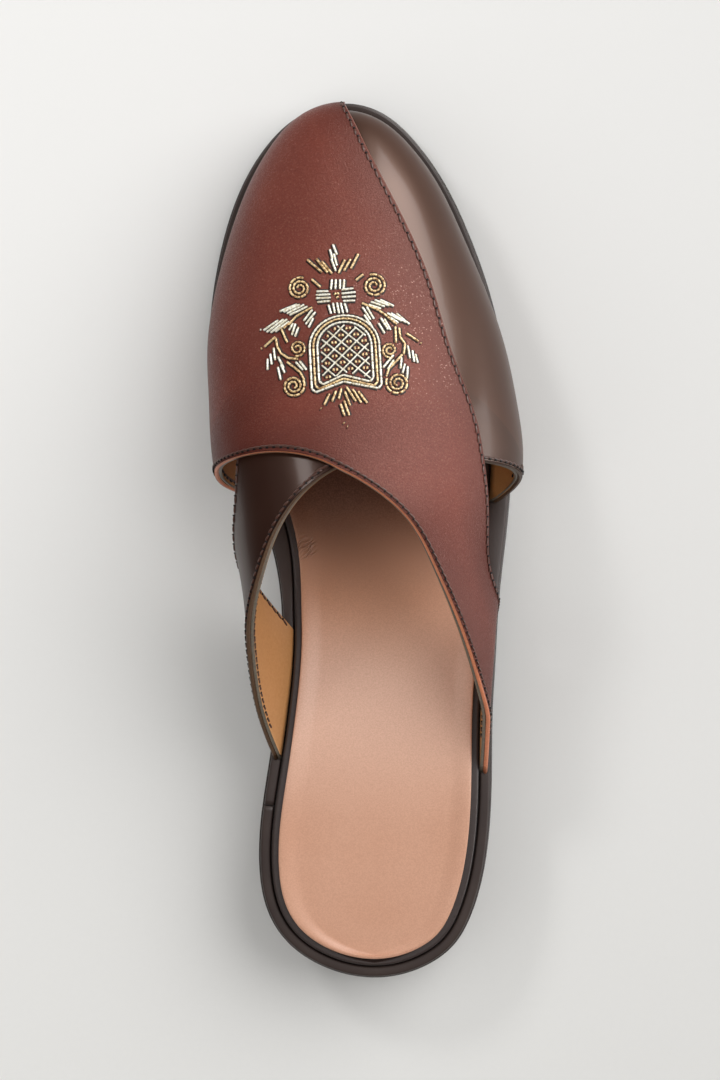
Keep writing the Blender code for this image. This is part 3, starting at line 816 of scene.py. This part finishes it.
def leather_and_lining(name, side, leather, painted_edge):
    """The two layers of a panel, the lining cut a hair shorter than the leather."""
    outer = panel(name + "_leather", side, SKIN + BETWEEN, WALL, 0.0,
                  [leather, EDGE_PAINTS[painted_edge]])
    panel(name + "_lining", side, 0.0, SKIN, LINING_PULL,
          [lining_leather, EDGE_PAINTS["grey_cream_lining_edge"]])
    return outer


under_leather = leather_and_lining("under_panel", UNDER, olive_calf, "brown_gold_cut_edge")
over_leather = leather_and_lining("over_panel", OVER, red_calf, "orange_tan_cut_edge")
for obj, node, slot in ((under_leather, "upper_under", "olive_brown_leather"),
                        (over_leather, "upper_over", "red_brown_leather")):
    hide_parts(node)

# %% [markdown]
# Lines of lockstitch run beside every cut edge. Each stitch is a short waxed linen thread, dark and a
# little glossy, that goes down into a pricked hole at both ends. It is drawn as a short tube that thins
# there and slants across the row, and a near-black peg of painted shade stands for the dark inside of the
# hole.

# %% Thread
thread = grained("waxed_linen_thread", ("26120d", "694335"), 0.35, scale=4.0, detail=2, harshness=0.5)[0]


def tubes(name, runs, width, material):
    """One mesh of many short tubes: each run is a list of points with their share of the full width."""
    drawing = bpy.data.curves.new(name, "CURVE")
    drawing.dimensions = "3D"
    drawing.bevel_depth = width / 2
    drawing.bevel_resolution = 1
    drawing.use_fill_caps = True
    for points, radii in runs:
        line = drawing.splines.new("POLY")
        line.points.add(len(points) - 1)
        for spot, point, radius in zip(line.points, points, radii):
            spot.co = (*point, 1)
            spot.radius = radius
    pattern = bpy.data.objects.new(name + "_drawing", drawing)
    bpy.context.scene.collection.objects.link(pattern)
    bpy.context.view_layer.update()
    mesh = bpy.data.meshes.new_from_object(pattern.evaluated_get(bpy.context.evaluated_depsgraph_get()))
    bpy.data.objects.remove(pattern)
    shape = bmesh.new()
    shape.from_mesh(mesh)
    bmesh.ops.recalc_face_normals(shape, faces=shape.faces)
    for face in shape.faces:
        face.smooth = True
    return settle(name, shape, [material])


# %% Stitch rows
THREAD_WIDTH = 0.00078
SLANT = 0.0003
ROW_FROM_EDGE = 0.0015
REAR_PITCH, FRONT_PITCH = 0.0026, 0.0034
ROW_END = 0.985
ON_TOP = WALL + 0.00010
INSIDE = -0.00006
ROW_SAMPLES = 600
ALONG_A_STITCH = np.array([0.12, 0.27, 0.5, 0.73, 0.88])
STITCH_SWELL = [0.35, 0.9, 1.0, 0.9, 0.35]
HOLE_WIDTH = 1.1 * THREAD_WIDTH


def stitch_row(side, at_front, start, pitch, height):
    """Stitches at an even pitch along a panel's edge, from a share along it to the row's end."""
    along = np.linspace(start, ROW_END, ROW_SAMPLES)
    near, far = [panel_point(side, along, margin(side, along, at_front, ROW_FROM_EDGE + slant),
                             height + 0 * along) for slant in (-SLANT, SLANT)]
    length = np.concatenate([[0], np.cumsum(np.linalg.norm(np.diff(near, axis=0), axis=1))])
    runs = []
    for i in range(int(length[-1] / pitch)):
        at = (i + ALONG_A_STITCH) * pitch
        one, two = [np.stack([np.interp(at, length, path[:, k]) for k in range(3)], axis=-1)
                    for path in (near, far)]
        runs.append((one + (two - one) * ALONG_A_STITCH[:, None], STITCH_SWELL))
    return runs


seams = []
for side in (OVER, UNDER):
    for height in (ON_TOP, INSIDE):
        seams += stitch_row(side, False, CORNER_ALONG + 0.02, REAR_PITCH, height)
        seams += stitch_row(side, True, 0.02, FRONT_PITCH, height)
stitches = tubes("edge_stitching", seams, THREAD_WIDTH, thread)
# Painted shade: a near-black peg at the start of each stitch, for the dark inside of the hole.
hole_shade_paint, tree, shader, _ = new_material("painted_hole_shade")
fill(tree, shader, {"Base Color": "0c0504", "Roughness": 0.8})
pricks = [([spots[0] * 2.0 - spots[1], spots[0]], [1.0, 1.0]) for spots, _ in seams]
hole_shades = tubes("stitch_hole_shades", pricks, HOLE_WIDTH, hole_shade_paint)
print(len(seams), "stitches")

# %% [markdown]
# The crest on the vamp is bullion work: springy tubes of fine gold and silver wire, cut to length and
# sewn down like long beads. It is charted here in millimetres from the crest's middle, right and ahead.
# A real coil winks as it turns to the light. Here a pale and a dark tone stand in for that, with little
# metallic, because pure metal would only mirror this grey room.

# %% Bullion wire
METALS = {}
for metal, dull, bright in (("silver", "d6c8a8", "fffdf0"), ("gold", "9c6f3e", "ffdfa8")):
    METALS[metal], tree, shader, mm = new_material(metal + "_bullion_wire")
    wink = add(tree, "TexNoise", {"Vector": mm, "Scale": 1.3, "Detail": 2.0})
    glint = add(tree, "MapRange", (wink, 0.36, 0.56, 0, 1))
    tone = add(tree, "Mix", {0: glint, 6: dull, 7: bright}, data_type="RGBA")
    fill(tree, shader, {"Base Color": tone, "Metallic": 0.15, "Roughness": 0.30})

# %% Chart of the crest
CREST_MIDDLE = (-0.0090, 0.1765)
CREST_LEAN = math.radians(3.8)
BARS = {"silver": [
    # right, ahead, right end, ahead end
    (-2.0, 28.6, -1.3, 25.2), (-1.7, 25.4, -0.5, 21.2), (-0.9, 30.2, 0.2, 26.6), (-0.8, 27.0, 0.0, 23.0),
    (-1.9, 18.5, -2.4, 15.1), (-0.6, 18.4, -1.0, 15.1), (0.8, 18.3, 0.5, 15.1), (2.1, 18.2, 1.7, 15.0),
    (-7.2, 14.8, -3.3, 14.6), (-7.4, 13.6, -2.6, 13.5), (-7.5, 12.5, -2.6, 12.4), (-7.1, 11.2, -2.8, 11.3),
    (1.0, 14.8, 5.0, 15.0), (1.0, 13.5, 5.6, 13.7), (1.0, 12.3, 5.6, 12.3), (1.3, 11.0, 5.3, 10.9),
    (-3.5, 10.1, -2.8, 7.0), (-2.0, 10.6, -1.6, 7.2), (-0.7, 10.6, -0.2, 7.0), (0.5, 10.4, 1.1, 6.9),
    (1.8, 10.2, 2.5, 7.1),
    (-19.6, 9.1, -13.7, 11.0), (-18.3, 8.8, -12.8, 10.9), (-17.2, 8.2, -11.4, 10.7),
    (-16.4, 7.6, -10.4, 10.0),
    (-25.2, 3.3, -20.2, 6.2), (-24.2, 2.6, -18.4, 6.4), (-22.9, 2.3, -17.2, 6.3), (-21.4, 2.5, -16.6, 5.5),
    (-26.3, 3.7, -26.1, 3.5),
    (-16.8, 2.6, -15.4, 4.8), (-16.0, 0.9, -14.6, 4.6), (-15.0, 0.3, -13.7, 3.4),
    (-11.9, 5.3, -8.9, 8.8), (-11.3, 4.1, -7.9, 8.0), (-10.4, 3.0, -8.7, 6.0),
    (10.3, 10.2, 14.8, 8.3), (11.6, 10.7, 16.3, 8.5), (13.4, 10.7, 17.7, 8.3), (9.6, 9.3, 13.5, 7.7),
    (15.4, 6.1, 20.0, 3.2), (16.6, 6.0, 21.4, 2.6), (18.4, 5.8, 22.4, 2.0), (16.2, 4.6, 18.9, 2.6),
    (12.4, 2.9, 14.2, -0.6), (13.2, 4.7, 15.4, 0.6), (14.4, 4.2, 16.2, 0.4),
    (7.5, 8.6, 9.9, 4.2), (8.9, 8.6, 11.0, 4.4), (7.9, 6.0, 10.3, 1.8),
    (-23.4, -4.7, -23.1, -8.3), (-22.2, -2.8, -21.9, -6.9), (-24.4, -6.3, -24.6, -9.9),
    (-20.9, -5.9, -19.2, -9.8), (-21.1, -9.3, -20.4, -13.6), (-20.1, -8.6, -19.0, -11.4),
    (-15.2, -8.1, -13.0, -10.9), (-13.9, -7.9, -11.8, -11.0),
    (21.4, -5.0, 21.9, -9.3), (22.8, -6.7, 23.2, -10.6), (23.7, -8.0, 24.3, -11.0),
    (19.2, -8.8, 18.6, -12.6), (20.1, -11.0, 19.2, -14.1), (21.0, -11.9, 20.5, -16.0),
    (16.6, -7.9, 13.0, -11.9), (16.6, -9.6, 14.4, -12.6),
], "gold": [
    (-9.6, 25.7, -5.0, 21.1), (-6.6, 25.8, -3.2, 20.9), (-4.8, 24.7, -1.7, 20.4),
    (2.7, 24.7, 0.3, 20.4), (4.6, 24.8, 2.2, 21.1), (7.2, 26.4, 4.5, 21.7),
    (-8.5, 19.0, -5.8, 16.2), (8.4, 19.5, 5.9, 17.7),
    (-16.9, 4.4, -14.4, 6.9), (-14.4, 6.9, -11.9, 8.2), (-11.9, 8.2, -8.8, 9.6), (-18.6, 3.4, -16.9, 4.9),
    (7.4, 9.9, 10.2, 8.6), (10.2, 8.6, 12.8, 7.2), (12.8, 7.2, 15.4, 5.0), (15.4, 5.0, 18.3, 2.2),
    (-19.3, 3.2, -18.5, 0.9), (-18.5, 0.9, -17.6, -1.4), (-25.3, -2.2, -21.4, 0.8),
    (-26.4, -2.7, -26.1, -2.6),
    (-21.3, 0.4, -21.0, -2.4), (-21.0, -2.4, -19.9, -4.8), (-19.9, -4.8, -17.6, -6.6),
    (-17.6, -6.6, -14.4, -7.2),
    (-18.0, -7.9, -15.9, -9.7), (-15.9, -9.7, -13.9, -11.6), (-13.9, -11.6, -12.7, -14.2),
    (17.8, 1.6, 17.7, -3.9), (19.0, 1.0, 19.2, -2.2), (19.2, -2.2, 20.6, -4.4), (20.6, -4.4, 19.9, -7.9),
    (21.2, -0.9, 25.0, -3.8), (25.6, -4.3, 25.9, -4.6), (19.5, -7.9, 17.2, -10.2), (17.2, -10.2, 14.8, -12.4),
    (14.8, -12.4, 13.9, -14.8),
    (-4.8, -19.4, -6.7, -23.0), (-2.6, -18.6, -4.1, -22.0), (-0.8, -17.7, -1.9, -21.3),
    (-7.9, -23.9, -7.7, -24.1),
    (0.8, -17.5, 3.6, -22.4), (0.2, -19.0, 1.7, -23.7), (2.8, -18.4, 5.3, -23.0), (4.6, -19.2, 7.2, -23.2),
    (-1.4, -23.0, -0.3, -27.0), (-0.2, -22.0, 1.2, -26.9), (-0.8, -29.2, -0.6, -29.4),
    (0.3, -30.5, 0.5, -30.6),
    (-1.3, 13.2, -0.9, 13.9), (-0.4, 13.9, 0.1, 13.3), (-0.1, 12.6, -0.8, 12.2),
]}
SPIRALS = [
    # right, ahead, outer radius, turns, start in degrees, way round
    (-12.6, 16.3, 3.7, 2.3, 65, 1), (11.7, 15.5, 3.9, 2.3, 110, -1),
    (-14.4, -3.6, 2.7, 1.8, 250, 1), (15.5, -6.2, 2.6, 1.8, 290, -1),
    (-16.3, -15.9, 3.7, 2.3, 30, -1), (17.4, -17.2, 3.8, 2.3, 150, 1),
]
SHIELD_MIDDLE = 0.9
SHIELD_SHOULDER = -4.0
ROWS_OF_SHIELD = [
    # metal, half width, height of the arch, foot, notch
    ("silver", 11.3, 10.2, -18.6, 2.9), ("gold", 10.1, 9.2, -17.6, 2.9), ("silver", 8.8, 8.0, -16.2, 2.7),
]


# %% From the chart to the leather
over_shape = bmesh.new()
over_shape.from_mesh(over_leather.data)
vamp = BVHTree.FromBMesh(over_shape)
over_shape.free()
WIRE_WIDTH = 0.00084
WIRE_LIFT = 0.4 * WIRE_WIDTH
ABOVE_ALL = 0.2
COIL, FINE_COIL, SHIELD_COIL = 0.4, 0.3, 0.35


def on_vamp(right, ahead, lift):
    """A charted point, in millimetres, on top of the red-brown leather."""
    x = CREST_MIDDLE[0] + (right * math.cos(CREST_LEAN) - ahead * math.sin(CREST_LEAN)) * MM
    y = CREST_MIDDLE[1] + (right * math.sin(CREST_LEAN) + ahead * math.cos(CREST_LEAN)) * MM
    spot, normal, _, _ = vamp.ray_cast(Vector((x, y, ABOVE_ALL)), Vector((0, 0, -1)))
    return spot + normal * lift


def wire(points, pitch=COIL):
    """A bullion tube along charted points: closely spaced rings, every other one thinner, as coils show."""
    points = np.array(points, float)
    length = np.concatenate([[0], np.cumsum(np.linalg.norm(np.diff(points, axis=0), axis=1))])
    count = max(4, int(length[-1] / pitch))
    at = np.linspace(0, length[-1], count)
    right, ahead = [np.interp(at, length, points[:, k]) for k in (0, 1)]
    spots = [on_vamp(r, a, WIRE_LIFT) for r, a in zip(right, ahead)]
    radii = [1.0 if i % 2 else 0.80 for i in range(count)]
    radii[0] = radii[-1] = 0.7
    return spots, radii


# %% Bars, spirals and arches
SPIRAL_STEPS = 60
SPIRAL_BEAD = 3
SPIRAL_WOUND = 0.80
BEAD_SHRINK = 0.14
ARCH_POINTS = 24
SHIELD_BEAD = 2.8
SHIELD_CORNER = 1.2
BEAD_FILL = 0.94
runs = {metal: [wire([bar[:2], bar[2:]]) for bar in bars] for metal, bars in BARS.items()}
for right, ahead, radius, turns, start, way_round in SPIRALS:
    way = np.linspace(0, turns * 2 * math.pi, SPIRAL_STEPS + 1)
    reach = radius * (1 - SPIRAL_WOUND * way / way[-1])
    angle = math.radians(start) + way_round * way
    points = np.stack([right + reach * np.cos(angle), ahead + reach * np.sin(angle)], axis=-1)
    for piece in range(0, SPIRAL_STEPS, SPIRAL_BEAD):
        bead = points[piece:piece + SPIRAL_BEAD + 1]
        runs["gold"].append(wire(bead * (1 - BEAD_SHRINK) + bead.mean(axis=0) * BEAD_SHRINK, FINE_COIL))
for metal, half, arch_height, foot, notch in ROWS_OF_SHIELD:
    arch = [(SHIELD_MIDDLE + half * math.cos(a), SHIELD_SHOULDER + arch_height * math.sin(a))
            for a in np.linspace(0, math.pi, ARCH_POINTS)]
    right, left, low = SHIELD_MIDDLE + half, SHIELD_MIDDLE - half, foot + SHIELD_CORNER
    outline = [(right, low), *arch, (left, low), (left + SHIELD_CORNER, foot), (0.0, foot + notch),
               (right - SHIELD_CORNER, foot), (right, low)]
    for one, two in zip(np.array(outline), np.array(outline[1:])):
        pieces = max(1, round(math.dist(one, two) / SHIELD_BEAD))
        for i in range(pieces):
            ends = [one + (two - one) * t for t in (i / pieces, (i + BEAD_FILL) / pieces)]
            runs[metal].append(wire(ends, SHIELD_COIL))

# %% Lattice inside the shield
LATTICE_LINES, LATTICE_CELLS = 8, 6
LATTICE_SPOTS = np.arange(-9, 11, 0.25)
FEWEST_SPOTS = 6
LATTICE_STEP = 4.5
LATTICE_START = -2.6
LATTICE_SLOPE = 0.92
LATTICE_HALF = 7.9
LATTICE_RISE = 7.1
LATTICE_FOOT = -15.3
LATTICE_NOTCH = 2.6
THIN_WIRE = 0.72
PAIR_APART, PAIR_HALF, PAIR_SPARE = 0.55, 0.4, 0.5


def inside_shield(right, ahead, spare=0.0):
    """Whether a charted point lies inside the shield's innermost line, less a spare width."""
    off = abs(right - SHIELD_MIDDLE)
    half = LATTICE_HALF - spare
    if ahead > SHIELD_SHOULDER:
        return math.hypot(off / half, (ahead - SHIELD_SHOULDER) / (LATTICE_RISE - spare)) < 1
    return off < half and ahead > LATTICE_FOOT + spare + LATTICE_NOTCH * (1 - off / LATTICE_HALF)


for slope in (-LATTICE_SLOPE, LATTICE_SLOPE):
    for line in range(-LATTICE_LINES, LATTICE_LINES + 1):
        spots = [(t, slope * t + line * LATTICE_STEP + LATTICE_START) for t in LATTICE_SPOTS]
        kept = [spot for spot in spots if inside_shield(*spot)]
        if len(kept) >= FEWEST_SPOTS:
            spots, radii = wire(kept)
            runs["silver"].append((spots, [THIN_WIRE * radius for radius in radii]))
for i in range(-LATTICE_CELLS, LATTICE_CELLS + 1):
    for j in range(-LATTICE_CELLS, LATTICE_CELLS + 1):
        right = (i - j) * LATTICE_STEP / (2 * LATTICE_SLOPE)
        ahead = (i + j) * LATTICE_STEP / 2 + LATTICE_START + LATTICE_STEP / 2
        for across in (-PAIR_APART, PAIR_APART):
            if inside_shield(right + across, ahead, PAIR_SPARE):
                ends = [(right + across, ahead + end) for end in (-PAIR_HALF, PAIR_HALF)]
                runs["gold"].append(wire(ends, FINE_COIL))

# %% Painted shadow under the wires
# A dull, nearly black band of painted shadow lies under each wire and shows beside it.
wire_shadow_paint = grained("painted_wire_shadow", ("120705", "2e130d"), 0.6, scale=2.5, detail=3, harshness=0.5)[0]


def shadow_run(run):
    """Every third point of a run and its last, all at full width, as the painted shadow shows beside a wire.
    """
    spots = run[0][::3] + run[0][-1:]
    return spots, [1.0] * len(spots)


SHADOW_WIDTH = 0.0018
SHADOW_HIGH, SHADOW_LOW = 0.00008, 0.00010
shadow_runs = [shadow_run(run) for metal in runs for run in runs[metal]]
wire_shadows = tubes("crest_painted_wire_shadow", shadow_runs, SHADOW_WIDTH, wire_shadow_paint)
for vert in wire_shadows.data.vertices:
    hit, normal, _, _ = vamp.find_nearest(vert.co)
    above = (vert.co - hit).dot(normal)
    vert.co += normal * (min(max(above, -SHADOW_LOW), SHADOW_HIGH) - above)

# %% Sew the crest down
for metal in ("gold", "silver"):
    crest = tubes("crest_" + metal + "_wire", runs[metal], WIRE_WIDTH, METALS[metal])

# %% [markdown]
# The floor is plain matte paper, with painted light that makes it a little lighter towards the toe. Light
# comes as in a photo studio. A wide, soft light from overhead on the outer side gives the shapes and the
# shadow. A big box and a low strip on the outer side, seen by reflections only, draw the long sheen on
# the leather. A small box on the inner side puts a glint on the strap, a weak one overhead gives the
# sock its gloss, and a large fill keeps the shadows open.

# %% Floor
FLOOR_REACH = 30
ground, tree, shader, mm = new_material("matte_paper_floor")
paper = add(tree, "TexNoise", {"Vector": mm, "Scale": 0.5, "Detail": 3.0})
along = add(tree, "SeparateXYZ", [mm]).outputs["Y"]
# Painted light: the paper is made a little lighter towards the toe.
painted_light_falloff = add(tree, "MapRange", (along, -300, 450, 0, 1), **SOFTLY)
tone = add(tree, "Mix", {0: paper, 6: "e0dfdc", 7: "e3e2df"}, data_type="RGBA")
tone = add(tree, "Mix", {0: painted_light_falloff, 6: tone, 7: "f4f3f1"}, data_type="RGBA")
fill(tree, shader, {"Base Color": tone, "Roughness": 0.9, "Specular IOR Level": 0.15})
shape = bmesh.new()
bmesh.ops.create_grid(shape, x_segments=8, y_segments=8, size=FLOOR_REACH)
floor = make_object("paper_floor", shape, [ground])

# %% Lights
SHOE_LIGHTS = [
    # name, x, y, z, width, depth, power in watts
    ("outer_box", 0.70, 0.92, 0.86, 0.75, 0.80, 25.0),
    ("outer_strip", 1.10, 0.12, 0.20, 0.95, 0.34, 8.0),
    ("inner_box", -0.62, 0.78, 0.82, 0.24, 0.24, 2.6),
    ("inner_fill", -1.20, -0.10, 1.50, 1.80, 1.80, 8.0),
    ("overhead_box", 0.02, 0.02, 1.60, 0.60, 0.60, 2.0),
]
for name, x, y, z, width, depth, power in SHOE_LIGHTS:
    lamp = bpy.data.lights.new(name, "AREA")
    lamp.shape = "RECTANGLE"
    lamp.size, lamp.size_y = width, depth
    lamp.energy = power
    box = bpy.data.objects.new(name, lamp)
    box.location = (x, y, z)
    box.rotation_euler = (SHOE_MIDDLE - box.location).to_track_quat("-Z", "Y").to_euler()
    box.visible_glossy = name != "inner_fill"
    box.visible_diffuse = not name.startswith("outer")
    bpy.context.scene.collection.objects.link(box)
CEILING_WAY = Vector((-0.62, -0.42, -0.66))
ceiling = bpy.data.lights.new("ceiling_light", "SUN")
ceiling.angle = math.radians(60)
ceiling.energy = 2.15
ceiling_light = bpy.data.objects.new("ceiling_light", ceiling)
ceiling_light.rotation_euler = CEILING_WAY.to_track_quat("-Z", "Y").to_euler()
ceiling_light.visible_glossy = False
bpy.context.scene.collection.objects.link(ceiling_light)

# %% A dark card that only reflections see
# The card stands low on the inner side. Mirrored in the polish, it gives the dark lane beside the sheen.
CARD_SIZE = (0.15, 0.26, 1)
CARD_LEAN = math.radians(52)
CARD_AT = (-0.165, 0.075, 0.052)
card_paint = grained("black_card", ("120d0b", "1d1512"), 0.9, scale=0.02, detail=2, harshness=0.5)[0]
shape = bmesh.new()
bmesh.ops.create_grid(shape, x_segments=2, y_segments=2, size=0.5)
bmesh.ops.scale(shape, verts=shape.verts, vec=CARD_SIZE)
bmesh.ops.rotate(shape, verts=shape.verts, matrix=Matrix.Rotation(CARD_LEAN, 3, "Y"))
bmesh.ops.translate(shape, verts=shape.verts, vec=CARD_AT)
card = make_object("black_card", shape, [card_paint])
card.visible_camera = card.visible_diffuse = card.visible_shadow = False

# %% The pale room
# The walls are a pale grey that darkens upwards, with a brighter haze where they meet the floor.
room = bpy.data.worlds.new("pale_room")
room.use_nodes = True
tree = room.node_tree
height = add(tree, "SeparateXYZ", [add(tree, "TexCoord").outputs["Generated"]]).outputs["Z"]
glow = add(tree, "MapRange", (height, 0.03, 0.35, 0.34, 0.20), **SOFTLY)
haze = add(tree, "MapRange", (height, 0.0, 0.16, 0.45, 0.0), **SOFTLY)
both = add(tree, "Math", (glow, haze), operation="ADD")
fill(tree, tree.nodes["Background"], {"Color": "f6f5f2", "Strength": both})
bpy.context.scene.world = room
bpy.context.scene.view_settings.view_transform = "Standard"
